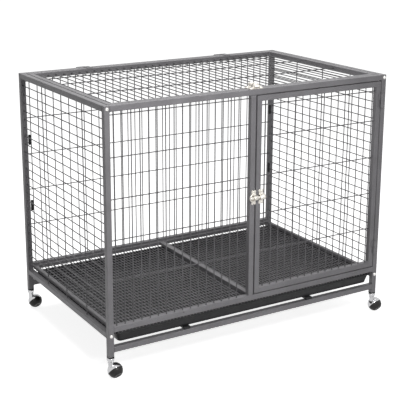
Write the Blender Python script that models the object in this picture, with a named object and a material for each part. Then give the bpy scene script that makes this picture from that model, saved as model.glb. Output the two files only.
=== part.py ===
# Dog cage on four ball casters: square-tube frame, six wire nets, a framed front door, a framed
# top lid, a raised mesh floor in a tube frame, and a slide-out tray that rests on two runners.
# Metres. The cage is laid out from its front left post: X to the right along the front, Y to the
# back, Z up from the post bottoms. The last step moves it all so that the origin is under the
# middle of the whole object, on the ground.

import math

import bmesh
import bpy
from mathutils import Matrix, Vector

for old in list(bpy.data.objects):
    bpy.data.objects.remove(old, do_unlink=True)

# Overall sizes
LENGTH = 1.090
DEPTH = 0.684
POST_H = 0.808
CASTER_H = 0.0765
TUBE = 0.019
GAP = 0.0003
TUBE_EDGE = 0.0012

# Heights of the rails above the post bottoms
LOW_RAIL_Z = 0.0145
SIDE_RAIL_Z = 0.060
SILL_Z = 0.0825
TOP_RAIL_Z = POST_H - TUBE
SILL_TOP = SILL_Z + TUBE
SIDE_RAIL_TOP = SIDE_RAIL_Z + TUBE

# Front opening
CENTRE_POST_X = 0.5255
DOOR_X0 = 0.5495
DOOR_X1 = 1.068
DOOR_Z0 = 0.1045
DOOR_Z1 = 0.786

# Top lid
LID_GAP = 0.003

# Wire nets. The solids carry every second close wire, so a pitch of 60 mm for the real 30 mm.
WIRE = 0.0035
NET_PITCH = 0.060
FRONT_WIRE_X = 0.063
FRONT_WIRES = 8
BACK_WIRE_X = 0.065
BACK_WIRES = 17
SIDE_WIRE_Z = 0.134
SIDE_WIRES = 11
DOOR_WIRE_X = 0.587
DOOR_WIRES = 8
ROW_Z = 0.250
ROW_PITCH = 0.132
ROWS = 5
DOOR_ROWS = (0.250, 0.382, 0.514, 0.646, 0.752)
SIDE_COLUMN_PITCH = 0.160
LID_ROW_OFFSET = 0.100

# Floor
FLOOR_TUBE = 0.013
FLOOR_TUBE_Z = 0.0803
FLOOR_BAR_X = 0.5455
FLOOR_BAR = 0.0205
MESH_WIRE = 0.0026
MESH_Z = 0.0774
MESH_FRONT_Y = 0.002
MESH_COLUMNS = 6
MESH_ROWS = 6

# Tray and its runners
RUNNER_W = 0.025
RUNNER_H = 0.0085
RUNNER_X = (0.2875, 0.7855)
TRAY_Z0 = 0.0428
TRAY_Z1 = 0.0760
TRAY_X0 = 0.0215
TRAY_Y0 = 0.0015
TRAY_Y1 = 0.652
TRAY_DRAFT_X = 0.0155
TRAY_DRAFT_Y = 0.006
TRAY_WALL = 0.0026
TRAY_RIM = 0.003
TRAY_RIM_Z = 0.0025

# Barrel hinges
HINGE_R = 0.0045
HINGE_PIN_R = 0.0022
HINGE_BORE_R = 0.0024
HINGE_LEN = 0.050
HINGE_LEAF = 0.0015
HINGE_LEAF_W = 0.0105
DOOR_AXIS_X = 1.0695
DOOR_AXIS_Y = -0.0048
DOOR_HINGE_Z = (0.178, 0.718)
LID_AXIS_Y = DEPTH + GAP + HINGE_R
LID_AXIS_Z = POST_H + GAP + HINGE_LEAF - HINGE_R
LID_STRAP = 0.037
LID_HINGE_X = (0.250, 0.840)

# Slide-bolt latches
LATCH_Z = 0.4465
LATCH_H = 0.051
LATCH_PLATE = 0.0025
LATCH_BARREL_R = 0.009
LATCH_AXIS_OUT = 0.0093
BOLT_R = 0.0050
BOLT_BORE_R = 0.0052
HOOK_R = 0.0120
HOOK_WIRE_R = 0.0022
TOP_LATCH_X = 0.5485

# Dome bolts through the posts
DOME_R = 0.006
DOME_H = 0.0035
DOME_Z = (0.071, 0.7985)

# Ball casters
BALL_R = 0.0250
BALL_IN_R = 0.0226
HOOD_R = 0.0262
HOOD_IN_R = 0.0246
TRAIL_X = 0.016
STEM_R = 0.0040
STEM_BORE_R = 0.0042
SOCKET_Z = CASTER_H - 0.0038
TILT_DEG = 40.0
HEADING_DEG = -80.0
PIN_R = 0.0030
PIN_BORE_R = 0.0033

# Centre of the whole object's box, in the cage's own coordinates
BOX_MID = Vector((0.55956, 0.34113, -CASTER_H))

PAINT = ((0.205, 0.200, 0.210), 0.42, 0.55)
WIRE_PAINT = ((0.130, 0.128, 0.135), 0.45, 0.50)
MESH_PAINT = ((0.090, 0.090, 0.094), 0.50, 0.45)
PLASTIC = ((0.018, 0.018, 0.020), 0.48, 0.0)
RUBBER = ((0.030, 0.030, 0.031), 0.55, 0.0)
CHROME = ((0.780, 0.780, 0.790), 0.10, 1.0)
NICKEL = ((0.700, 0.665, 0.610), 0.28, 1.0)
ZINC = ((0.800, 0.790, 0.770), 0.22, 1.0)

parts = bpy.data.collections.new("dog_cage")
bpy.context.scene.collection.children.link(parts)


def make_material(name, look):
    colour, roughness, metallic = look
    material = bpy.data.materials.new(name)
    material.use_nodes = True
    shader = material.node_tree.nodes["Principled BSDF"]
    shader.inputs["Base Color"].default_value = (*colour, 1.0)
    shader.inputs["Roughness"].default_value = roughness
    shader.inputs["Metallic"].default_value = metallic
    return material


def make_object(name, bm, look, origin=(0, 0, 0)):
    """Turns a closed bmesh in cage coordinates into a named object with its origin at origin."""
    bmesh.ops.recalc_face_normals(bm, faces=bm.faces)
    bmesh.ops.translate(bm, verts=bm.verts, vec=-Vector(origin))
    mesh = bpy.data.meshes.new(name)
    bm.to_mesh(mesh)
    bm.free()
    mesh.materials.append(make_material(name, look))
    obj = bpy.data.objects.new(name, mesh)
    obj.location = origin
    parts.objects.link(obj)
    return obj


def block(lo, hi):
    """A plain box between two corners."""
    bm = bmesh.new()
    size = Vector(hi) - Vector(lo)
    middle = (Vector(hi) + Vector(lo)) / 2
    bmesh.ops.create_cube(bm, size=1.0)
    bmesh.ops.transform(bm, matrix=Matrix.Translation(middle) @ Matrix.Diagonal((*size, 1.0)), verts=bm.verts)
    return bm


def bar(name, lo, hi, look=PAINT, origin=(0, 0, 0), edge=TUBE_EDGE):
    """A straight tube between two corners, its long edges chamfered."""
    bm = block(lo, hi)
    size = Vector(hi) - Vector(lo)
    axis = max(range(3), key=lambda i: size[i])
    long_edges = []
    for e in bm.edges:
        along = e.verts[1].co - e.verts[0].co
        if abs(along[axis]) > 0.9 * size[axis]:
            long_edges.append(e)
    bmesh.ops.bevel(bm, geom=long_edges, offset=edge, segments=1, affect="EDGES", profile=0.5)
    return make_object(name, bm, look, origin)


def sheet(us, vs, is_open, thickness):
    """A flat sheet whose cell borders run at the values us and vs, less the cells that are open."""
    bm = bmesh.new()
    columns = len(us) - 1
    rows = len(vs) - 1
    bmesh.ops.create_grid(bm, x_segments=columns, y_segments=rows, size=0.5)
    for v in bm.verts:
        i = round((v.co.x + 0.5) * columns)
        j = round((v.co.y + 0.5) * rows)
        v.co.x = us[i]
        v.co.y = vs[j]
    cell = {}
    for f in bm.faces:
        middle = f.calc_center_median()
        i = sum(1 for u in us if u < middle.x) - 1
        j = sum(1 for w in vs if w < middle.y) - 1
        cell[f] = (i, j)
    gone = [f for f, (i, j) in cell.items() if is_open(i, j)]
    bmesh.ops.delete(bm, geom=gone, context="FACES")
    top = bmesh.ops.extrude_face_region(bm, geom=list(bm.faces))
    moved = [g for g in top["geom"] if isinstance(g, bmesh.types.BMVert)]
    bmesh.ops.translate(bm, verts=moved, vec=(0, 0, thickness))
    bmesh.ops.translate(bm, verts=bm.verts, vec=(0, 0, -thickness / 2))
    return bm


ACROSS_Y = Matrix(((1, 0, 0, 0), (0, 0, -1, 0), (0, 1, 0, 0), (0, 0, 0, 1)))
ACROSS_X = Matrix(((0, 0, 1, 0), (1, 0, 0, 0), (0, 1, 0, 0), (0, 0, 0, 1)))
ACROSS_Z = Matrix.Identity(4)


def wire_edges(start, wires, end, width):
    """Cell borders of wires of one width between a start and an end."""
    edges = [start]
    for w in wires:
        edges.append(w - width / 2)
        edges.append(w + width / 2)
    edges.append(end)
    return edges


def net(name, u_span, u_wires, v_span, v_wires, turn, level, look=WIRE_PAINT, wire=WIRE, origin=(0, 0, 0)):
    """A welded wire net in one plane, its wire ends free at the frame around it."""
    us = wire_edges(u_span[0], u_wires, u_span[1], wire)
    vs = wire_edges(v_span[0], v_wires, v_span[1], wire)
    bm = sheet(us, vs, lambda i, j: i % 2 == 0 and j % 2 == 0, wire)
    bmesh.ops.transform(bm, matrix=Matrix.Translation(level) @ turn, verts=bm.verts)
    return make_object(name, bm, look, origin)


def span(first, count, pitch):
    return [first + pitch * k for k in range(count)]


def round_bar(centre, axis, radius, length, sides):
    """A cylinder about a centre, along an axis."""
    bm = bmesh.new()
    bmesh.ops.create_cone(bm, cap_ends=True, segments=sides, radius1=radius, radius2=radius, depth=length)
    turn = Vector((0, 0, 1)).rotation_difference(Vector(axis)).to_matrix().to_4x4()
    bmesh.ops.transform(bm, matrix=Matrix.Translation(centre) @ turn, verts=bm.verts)
    return bm


def lathe(profile, sides):
    """A solid of revolution about Z from points of radius and height."""
    bm = bmesh.new()
    line = [bm.verts.new((r, 0.0, z)) for r, z in profile]
    edges = [bm.edges.new(pair) for pair in zip(line, line[1:])]
    spun = dict(cent=(0, 0, 0), axis=(0, 0, 1), dvec=(0, 0, 0), angle=2 * math.pi, steps=sides)
    bmesh.ops.spin(bm, geom=line + edges, use_merge=True, use_duplicate=False, **spun)
    bmesh.ops.remove_doubles(bm, verts=bm.verts, dist=0.00001)
    bmesh.ops.recalc_face_normals(bm, faces=bm.faces)
    return bm


def combine(base, other, operation):
    """Boolean of two closed bmeshes, which are used up."""
    made = []
    for tag, bm in (("base", base), ("tool", other)):
        bmesh.ops.recalc_face_normals(bm, faces=bm.faces)
        mesh = bpy.data.meshes.new(tag)
        bm.to_mesh(mesh)
        bm.free()
        obj = bpy.data.objects.new(tag, mesh)
        bpy.context.scene.collection.objects.link(obj)
        made.append(obj)
    step = made[0].modifiers.new("join", "BOOLEAN")
    step.operation = operation
    step.solver = "EXACT"
    step.object = made[1]
    graph = bpy.context.evaluated_depsgraph_get()
    mesh = bpy.data.meshes.new_from_object(made[0].evaluated_get(graph))
    result = bmesh.new()
    result.from_mesh(mesh)
    for obj in made:
        data = obj.data
        bpy.data.objects.remove(obj, do_unlink=True)
        bpy.data.meshes.remove(data)
    bpy.data.meshes.remove(mesh)
    bmesh.ops.remove_doubles(result, verts=result.verts, dist=0.00001)
    return result


# Posts, rails and the centre post
right_x = LENGTH - TUBE
back_y = DEPTH - TUBE
for side, x in (("left", 0.0), ("right", right_x)):
    for end, y in (("front", 0.0), ("back", back_y)):
        bar("post_" + end + "_" + side, (x, y, 0.0), (x + TUBE, y + TUBE, POST_H))
    y0 = TUBE + GAP
    y1 = back_y - GAP
    bar("top_rail_" + side, (x, y0, TOP_RAIL_Z), (x + TUBE, y1, POST_H))
    bar("bottom_rail_" + side, (x, y0, SIDE_RAIL_Z), (x + TUBE, y1, SIDE_RAIL_TOP))

rail_x0 = TUBE + GAP
rail_x1 = right_x - GAP
for end, y in (("front", 0.0), ("back", back_y)):
    for kind, z in (("top_rail_", TOP_RAIL_Z), ("sill_", SILL_Z), ("low_rail_", LOW_RAIL_Z)):
        bar(kind + end, (rail_x0, y, z), (rail_x1, y + TUBE, z + TUBE))

net_z0 = SILL_TOP + GAP
net_z1 = TOP_RAIL_Z - GAP
bar("centre_post", (CENTRE_POST_X, 0.0, net_z0), (CENTRE_POST_X + TUBE, TUBE, net_z1))

# Fixed wire nets
rows = span(ROW_Z, ROWS, ROW_PITCH)
middle_y = DEPTH / 2
columns = [middle_y - SIDE_COLUMN_PITCH, middle_y, middle_y + SIDE_COLUMN_PITCH]
side_rows = span(SIDE_WIRE_Z, SIDE_WIRES, NET_PITCH)
front_span = (rail_x0, CENTRE_POST_X - GAP)
net("net_front", front_span, span(FRONT_WIRE_X, FRONT_WIRES, NET_PITCH), (net_z0, net_z1), rows,
    ACROSS_Y, (0, TUBE / 2, 0))
net("net_back", (rail_x0, rail_x1), span(BACK_WIRE_X, BACK_WIRES, NET_PITCH), (net_z0, net_z1), rows,
    ACROSS_Y, (0, DEPTH - TUBE / 2, 0))
side_z = (SIDE_RAIL_TOP + GAP, net_z1)
for side, x in (("left", TUBE / 2), ("right", LENGTH - TUBE / 2)):
    net("net_" + side, (TUBE + GAP, back_y - GAP), columns, side_z, side_rows, ACROSS_X, (x, 0, 0))

# Dome bolts that hold the side panels to the front posts
for level, z in zip(("low", "top"), DOME_Z):
    for side, x in (("left", TUBE / 2), ("right", LENGTH - TUBE / 2)):
        dome = [(0.0, 0.0), (DOME_R, 0.0), (0.93 * DOME_R, 0.45 * DOME_H), (0.62 * DOME_R, 0.85 * DOME_H),
                (0.0, DOME_H)]
        bm = lathe(dome, 12)
        bmesh.ops.transform(bm, matrix=Matrix.Translation((x, -GAP, z)) @ ACROSS_Y, verts=bm.verts)
        make_object("frame_bolt_" + level + "_" + side, bm, ZINC)

# Floor frame, with a bar across its middle, and the mesh under it
floor_x0 = TUBE + 2 * GAP
floor_x1 = right_x - 2 * GAP
floor_us = [floor_x0, floor_x0 + FLOOR_TUBE, FLOOR_BAR_X, FLOOR_BAR_X + FLOOR_BAR, floor_x1 - FLOOR_TUBE,
            floor_x1]
floor_vs = [TUBE + GAP, TUBE + GAP + FLOOR_TUBE, back_y - GAP - FLOOR_TUBE, back_y - GAP]
bm = sheet(floor_us, floor_vs, lambda i, j: i in (1, 3) and j == 1, FLOOR_TUBE)
bmesh.ops.translate(bm, verts=bm.verts, vec=(0, 0, FLOOR_TUBE_Z + FLOOR_TUBE / 2))
make_object("floor_frame", bm, PAINT)

mesh_split = FLOOR_BAR_X + FLOOR_BAR / 2
mesh_span_y = (MESH_FRONT_Y, DEPTH - MESH_FRONT_Y)
mesh_pitch_y = (mesh_span_y[1] - mesh_span_y[0]) / (MESH_ROWS + 1)
mesh_rows = span(mesh_span_y[0] + mesh_pitch_y, MESH_ROWS, mesh_pitch_y)
for side, x0, x1 in (("left", floor_x0, mesh_split - GAP), ("right", mesh_split + GAP, floor_x1)):
    pitch = (x1 - x0) / (MESH_COLUMNS + 1)
    net("floor_mesh_" + side, (x0, x1), span(x0 + pitch, MESH_COLUMNS, pitch), mesh_span_y, mesh_rows,
        ACROSS_Z, (0, 0, MESH_Z + MESH_WIRE / 2), MESH_PAINT, MESH_WIRE)

# Tray runners across the lowest rails
runner_z = LOW_RAIL_Z + TUBE + GAP
for side, x in zip(("left", "right"), RUNNER_X):
    lo = (x - RUNNER_W / 2, MESH_FRONT_Y, runner_z)
    hi = (x + RUNNER_W / 2, DEPTH - MESH_FRONT_Y, runner_z + RUNNER_H)
    bar("tray_runner_" + side, lo, hi, PLASTIC)


def tapered(x0, x1, y0, y1, z0, z1, draft_x, draft_y):
    """A box whose bottom is smaller than its top by the drafts, on every side."""
    bm = block((x0, y0, z0), (x1, y1, z1))
    for v in bm.verts:
        if v.co.z < (z0 + z1) / 2:
            v.co.x += draft_x if v.co.x < (x0 + x1) / 2 else -draft_x
            v.co.y += draft_y if v.co.y < (y0 + y1) / 2 else -draft_y
    return bm


# Tray: a shallow pan with drafted walls and a flat rim
tray_x1 = LENGTH - TRAY_X0
body = (TRAY_X0 + TRAY_RIM, tray_x1 - TRAY_RIM, TRAY_Y0 + TRAY_RIM, TRAY_Y1 - TRAY_RIM)
outer = tapered(*body, TRAY_Z0, TRAY_Z1 - TRAY_RIM_Z / 2, TRAY_DRAFT_X, TRAY_DRAFT_Y)
rim = block((TRAY_X0, TRAY_Y0, TRAY_Z1 - TRAY_RIM_Z), (tray_x1, TRAY_Y1, TRAY_Z1))
inside = (body[0] + TRAY_WALL, body[1] - TRAY_WALL, body[2] + TRAY_WALL, body[3] - TRAY_WALL)
hollow = tapered(*inside, TRAY_Z0 + TRAY_WALL, TRAY_Z1 + 0.002, TRAY_DRAFT_X, TRAY_DRAFT_Y)
tray = combine(combine(outer, rim, "UNION"), hollow, "DIFFERENCE")
make_object("tray", tray, PLASTIC, (LENGTH / 2, middle_y, TRAY_Z0))

# Door frame and net
door_origin = (DOOR_AXIS_X, DOOR_AXIS_Y, DOOR_Z0)
door_us = [DOOR_X0, DOOR_X0 + TUBE, DOOR_X1 - TUBE, DOOR_X1]
door_vs = [DOOR_Z0, DOOR_Z0 + TUBE, DOOR_Z1 - TUBE, DOOR_Z1]
bm = sheet(door_us, door_vs, lambda i, j: i == 1 and j == 1, TUBE)
bmesh.ops.transform(bm, matrix=Matrix.Translation((0, TUBE / 2, 0)) @ ACROSS_Y, verts=bm.verts)
make_object("door_frame", bm, PAINT, door_origin)
net("door_net", (door_us[1] + GAP, door_us[2] - GAP), span(DOOR_WIRE_X, DOOR_WIRES, NET_PITCH),
    (door_vs[1] + GAP, door_vs[2] - GAP), DOOR_ROWS, ACROSS_Y, (0, TUBE / 2, 0), origin=door_origin)

# Lid frame and net
lid_origin = (LENGTH / 2, LID_AXIS_Y, LID_AXIS_Z)
lid_x0 = TUBE + LID_GAP
lid_x1 = LENGTH - lid_x0
lid_us = [lid_x0, lid_x0 + TUBE, lid_x1 - TUBE, lid_x1]
lid_y1 = DEPTH - lid_x0
lid_vs = [lid_x0, lid_x0 + TUBE, lid_y1 - TUBE, lid_y1]
bm = sheet(lid_us, lid_vs, lambda i, j: i == 1 and j == 1, TUBE)
bmesh.ops.translate(bm, verts=bm.verts, vec=(0, 0, TOP_RAIL_Z + TUBE / 2))
make_object("lid_frame", bm, PAINT, lid_origin)
net("lid_net", (lid_us[1] + GAP, lid_us[2] - GAP), span(BACK_WIRE_X, BACK_WIRES, NET_PITCH),
    (lid_vs[1] + GAP, lid_vs[2] - GAP), [middle_y - LID_ROW_OFFSET, middle_y + LID_ROW_OFFSET],
    ACROSS_Z, (0, 0, TOP_RAIL_Z + TUBE / 2), origin=lid_origin)


def hinge_half(along, side, with_pin, leaf=HINGE_LEAF_W):
    """Half of a barrel hinge about Z at the origin, in front of the plate plane Y = 0.0045.
    side is +1 or -1 for the leaf's side, along +1 or -1 for the half's place along the axis."""
    half = HINGE_LEN / 2
    length = half - GAP / 2
    middle = along * (half + GAP / 2) / 2
    bm = round_bar((0, 0, middle), (0, 0, 1), HINGE_R, length, 16)
    near = 0.0018 * side
    far = (0.0018 + leaf) * side
    y1 = HINGE_R
    lo = (min(near, far), y1 - HINGE_LEAF, middle - length / 2 + 0.0005)
    hi = (max(near, far), y1, middle + length / 2 - 0.0005)
    bm = combine(bm, block(lo, hi), "UNION")
    if with_pin:
        pin = round_bar((0, 0, middle + along * -0.008), (0, 0, 1), HINGE_PIN_R, length + 0.012, 12)
        return combine(bm, pin, "UNION")
    bore = round_bar((0, 0, middle), (0, 0, 1), HINGE_BORE_R, length + 0.01, 12)
    return combine(bm, bore, "DIFFERENCE")


# Door hinges: the lower half with the pin on the post, the upper half on the door
for level, z in zip(("low", "top"), DOOR_HINGE_Z):
    place = Matrix.Translation((DOOR_AXIS_X, DOOR_AXIS_Y, z))
    bm = hinge_half(-1, 1, True)
    bmesh.ops.transform(bm, matrix=place, verts=bm.verts)
    make_object("post_hinge_" + level, bm, PAINT)
    bm = hinge_half(1, -1, False)
    bmesh.ops.transform(bm, matrix=place, verts=bm.verts)
    make_object("door_hinge_" + level, bm, PAINT, (DOOR_AXIS_X, DOOR_AXIS_Y, z))

# Lid hinges along X, their barrels behind the back rail: the half with the pin has its leaf down the
# rail's back face, and the lid's half has a long strap over the rail to the top of the lid's tube
RAIL_TURN = Matrix(((0, 0, 1, 0), (0, -1, 0, 0), (1, 0, 0, 0), (0, 0, 0, 1)))
for side, x in zip(("left", "right"), LID_HINGE_X):
    place = Matrix.Translation((x, LID_AXIS_Y, LID_AXIS_Z))
    bm = hinge_half(-1, -1, True)
    bmesh.ops.transform(bm, matrix=place @ RAIL_TURN, verts=bm.verts)
    make_object("rail_hinge_" + side, bm, PAINT)
    bm = hinge_half(1, -1, False, LID_STRAP)
    bmesh.ops.transform(bm, matrix=place @ ACROSS_X, verts=bm.verts)
    make_object("lid_hinge_" + side, bm, PAINT, (x, LID_AXIS_Y, LID_AXIS_Z))


def latch_bracket(s0, s1, barrel0, barrel1):
    """Plate with two rounded ears and a bored barrel along X, on the plane Y = 0, facing -Y."""
    depth = LATCH_PLATE
    y = -GAP - depth / 2
    middle = (s0 + s1) / 2
    ear = (s1 - s0) / 2
    rise = LATCH_H / 2 - ear
    bm = block((s0, -GAP - depth, -rise), (s1, -GAP, rise))
    for end in (-1, 1):
        disc = round_bar((middle, y, end * rise), (0, 1, 0), ear, depth, 16)
        bm = combine(bm, disc, "UNION")
    barrel = round_bar(((barrel0 + barrel1) / 2, -LATCH_AXIS_OUT, 0), (1, 0, 0), LATCH_BARREL_R,
                       barrel1 - barrel0, 16)
    bm = combine(bm, barrel, "UNION")
    bore = round_bar((middle, -LATCH_AXIS_OUT, 0), (1, 0, 0), BOLT_BORE_R, 0.05, 16)
    return combine(bm, bore, "DIFFERENCE")


def latch_bolt(hook_x, tip_x):
    """Round bolt along X with a C-shaped hook handle on its left end."""
    length = tip_x - hook_x
    rod = round_bar((hook_x + length / 2, -LATCH_AXIS_OUT, 0), (1, 0, 0), BOLT_R, length, 16)
    path = bpy.data.curves.new("hook", "CURVE")
    path.dimensions = "3D"
    path.bevel_depth = HOOK_WIRE_R
    path.bevel_resolution = 1
    path.use_fill_caps = True
    line = path.splines.new("POLY")
    turns = 13
    line.points.add(turns - 1)
    for k in range(turns):
        a = math.radians(80 + 200 * k / (turns - 1))
        x = hook_x + HOOK_R - 0.001 + HOOK_R * math.cos(a)
        line.points[k].co = (x, -LATCH_AXIS_OUT, HOOK_R * math.sin(a), 1.0)
    holder = bpy.data.objects.new("hook", path)
    bpy.context.scene.collection.objects.link(holder)
    graph = bpy.context.evaluated_depsgraph_get()
    mesh = bpy.data.meshes.new_from_object(holder.evaluated_get(graph))
    hook = bmesh.new()
    hook.from_mesh(mesh)
    bpy.data.objects.remove(holder, do_unlink=True)
    bpy.data.curves.remove(path)
    bpy.data.meshes.remove(mesh)
    bmesh.ops.remove_doubles(hook, verts=hook.verts, dist=0.00001)
    return combine(rod, hook, "UNION")


def add_latch(names, place, body, keeper, hook_s, tip_s, origins):
    """Bracket, keeper and bolt of one latch, moved into place."""
    solids = (latch_bracket(*body), latch_bracket(*keeper), latch_bolt(hook_s, tip_s))
    for name, bm, origin in zip(names, solids, origins):
        bmesh.ops.transform(bm, matrix=place, verts=bm.verts)
        make_object(name, bm, NICKEL, origin)


# Front latch: bracket on the centre post, keeper on the door's free stile
front_place = Matrix.Translation((0, 0, LATCH_Z))
add_latch(("latch_bracket_front", "latch_keeper_front", "latch_bolt_front"), front_place,
          (0.5295, 0.5478, 0.5340, 0.5478), (0.5577, 0.5775, 0.5577, 0.5775), 0.5215, 0.5820,
          ((0, 0, 0), door_origin, (0.5215, -LATCH_AXIS_OUT, LATCH_Z)))

# Top latch: the same, laid on the top faces, its bolt along Y into a keeper on the lid
TOP_TURN = Matrix(((0, 0, -1, 0), (1, 0, 0, 0), (0, -1, 0, 0), (0, 0, 0, 1)))
top_place = Matrix.Translation((TOP_LATCH_X, 0, POST_H)) @ TOP_TURN
add_latch(("latch_bracket_top", "latch_keeper_top", "latch_bolt_top"), top_place,
          (0.0010, 0.0185, 0.0050, 0.0185), (0.0232, 0.0407, 0.0232, 0.0407), -0.0040, 0.0530,
          ((0, 0, 0), lid_origin, (TOP_LATCH_X, -0.0040, POST_H + LATCH_AXIS_OUT)))

# Casters: black socket, chrome hood on a stem, black ball wheel on a tilted axle
tilt = math.radians(TILT_DEG)
heading = math.radians(HEADING_DEG)
axle = Vector((math.cos(heading) * math.cos(tilt), math.sin(heading) * math.cos(tilt), -math.sin(tilt)))
to_axle = Vector((0, 0, 1)).rotation_difference(axle).to_matrix().to_4x4()

NECK = [(0.0, 0.0755), (STEM_R, 0.0755), (STEM_R, 0.0723), (0.0112, 0.0723), (0.0128, 0.0703),
        (0.0126, 0.0660), (0.0105, 0.0605), (0.0082, 0.0520), (0.0078, 0.0410), (0.0, 0.0410)]
WHEEL_FACE = 0.0200


def arc(radius, start_deg, end_deg, steps):
    """Points of radius and height on a circle, by angle up from the equator."""
    points = []
    for k in range(steps + 1):
        a = math.radians(start_deg + (end_deg - start_deg) * k / steps)
        points.append((radius * math.cos(a), radius * math.sin(a)))
    return points


def hood_solid(centre):
    """Chrome half shell open along the axle, its neck and stem above, and its axle pin inside."""
    dome = lathe([(0.0, 0.0)] + arc(HOOD_R, 0, -90, 5), 18)
    bmesh.ops.transform(dome, matrix=Matrix.Translation(centre) @ to_axle, verts=dome.verts)
    body = combine(dome, lathe(NECK, 14), "UNION")
    ball = lathe(arc(HOOD_IN_R, 90, -90, 9), 18)
    bmesh.ops.transform(ball, matrix=Matrix.Translation(centre) @ to_axle, verts=ball.verts)
    body = combine(body, ball, "DIFFERENCE")
    pin = round_bar(centre - axle * 0.0175, axle, PIN_R, 0.0160, 10)
    return combine(body, pin, "UNION")


def wheel_solid(centre):
    """Ball wheel with a flat inner end that takes the axle pin and a recessed outer face."""
    edge = math.degrees(math.asin(WHEEL_FACE / BALL_R))
    profile = [(0.0, 0.0185), (0.0118, 0.0185)]
    profile += arc(BALL_R, edge, 1.5, 5)
    profile += arc(BALL_IN_R, 1.5, -48, 3)
    profile += [(PIN_BORE_R, profile[-1][1]), (PIN_BORE_R, -0.0080), (0.0, -0.0080)]
    bm = lathe(profile, 18)
    bmesh.ops.transform(bm, matrix=Matrix.Translation(centre) @ to_axle, verts=bm.verts)
    return bm


def socket_solid():
    """Square black plug under the post with a round bore for the stem."""
    half = TUBE / 2 - GAP
    bm = block((-half, -half, SOCKET_Z), (half, half, CASTER_H - GAP))
    bore = round_bar((0, 0, CASTER_H), (0, 0, 1), STEM_BORE_R, 0.02, 16)
    return combine(bm, bore, "DIFFERENCE")


# The ball's centre is as high as its lowest facet needs
trial = wheel_solid(Vector((0, 0, 0)))
ball_height = -min(v.co.z for v in trial.verts)
trial.free()

for end, y in (("front", TUBE / 2), ("back", DEPTH - TUBE / 2)):
    for side, x in (("left", TUBE / 2), ("right", LENGTH - TUBE / 2)):
        stem = Vector((x, y, -CASTER_H))
        centre = Vector((TRAIL_X, 0, ball_height))
        where = end + "_" + side
        pieces = (("caster_socket_", socket_solid(), PLASTIC, (0, 0, 0)),
                  ("caster_hood_", hood_solid(centre), CHROME, (0, 0, 0)),
                  ("caster_wheel_", wheel_solid(centre), RUBBER, centre))
        for kind, bm, look, origin in pieces:
            bmesh.ops.translate(bm, verts=bm.verts, vec=stem)
            make_object(kind + where, bm, look, stem + Vector(origin))

# Origin under the middle of the object
for obj in parts.objects:
    obj.location = obj.location - BOX_MID
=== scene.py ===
import math
import random

import bmesh
import bpy
from mathutils import Matrix, Vector


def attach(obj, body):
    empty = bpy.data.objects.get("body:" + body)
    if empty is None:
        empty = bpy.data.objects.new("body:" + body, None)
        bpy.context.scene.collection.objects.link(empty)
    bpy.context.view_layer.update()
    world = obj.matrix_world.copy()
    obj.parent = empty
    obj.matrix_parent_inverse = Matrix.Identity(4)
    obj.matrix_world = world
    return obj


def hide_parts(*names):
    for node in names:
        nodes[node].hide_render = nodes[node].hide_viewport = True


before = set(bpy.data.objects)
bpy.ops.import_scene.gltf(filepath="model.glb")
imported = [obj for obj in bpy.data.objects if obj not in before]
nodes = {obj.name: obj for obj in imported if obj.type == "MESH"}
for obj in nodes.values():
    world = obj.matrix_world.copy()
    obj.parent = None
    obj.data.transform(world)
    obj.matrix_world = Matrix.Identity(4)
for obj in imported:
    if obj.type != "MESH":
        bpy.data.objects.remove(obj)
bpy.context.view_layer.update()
rng = random.Random(11)

MID = Vector((0.55956, 0.34113, -0.0765))
TO_FRAME = Matrix.Translation(-MID)

# Cage sizes that the pieces share with the solids
LENGTH = 1.090
DEPTH = 0.684
TUBE = 0.019
HALF = TUBE / 2
POST_H = 0.808
RAIL_UNDER = 0.789
SILL_TOP = 0.1015
SIDE_RAIL = (0.060, 0.079)
LOW_RAIL = (0.0145, 0.0335)
SILL_UNDER = 0.0825
CENTRE_POST = (0.5255, 0.5445)
GROUND = -0.0765

# Door and lid frames: outer and inner edge on each side, across and then up
DOOR_U = (0.5495, 0.5685, 1.049, 1.068)
DOOR_V = (0.1045, 0.1235, 0.767, 0.786)
LID_U = (0.022, 0.041, 1.049, 1.068)
LID_V = (0.022, 0.041, 0.643, 0.662)
LID_MID = 0.7985


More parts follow.
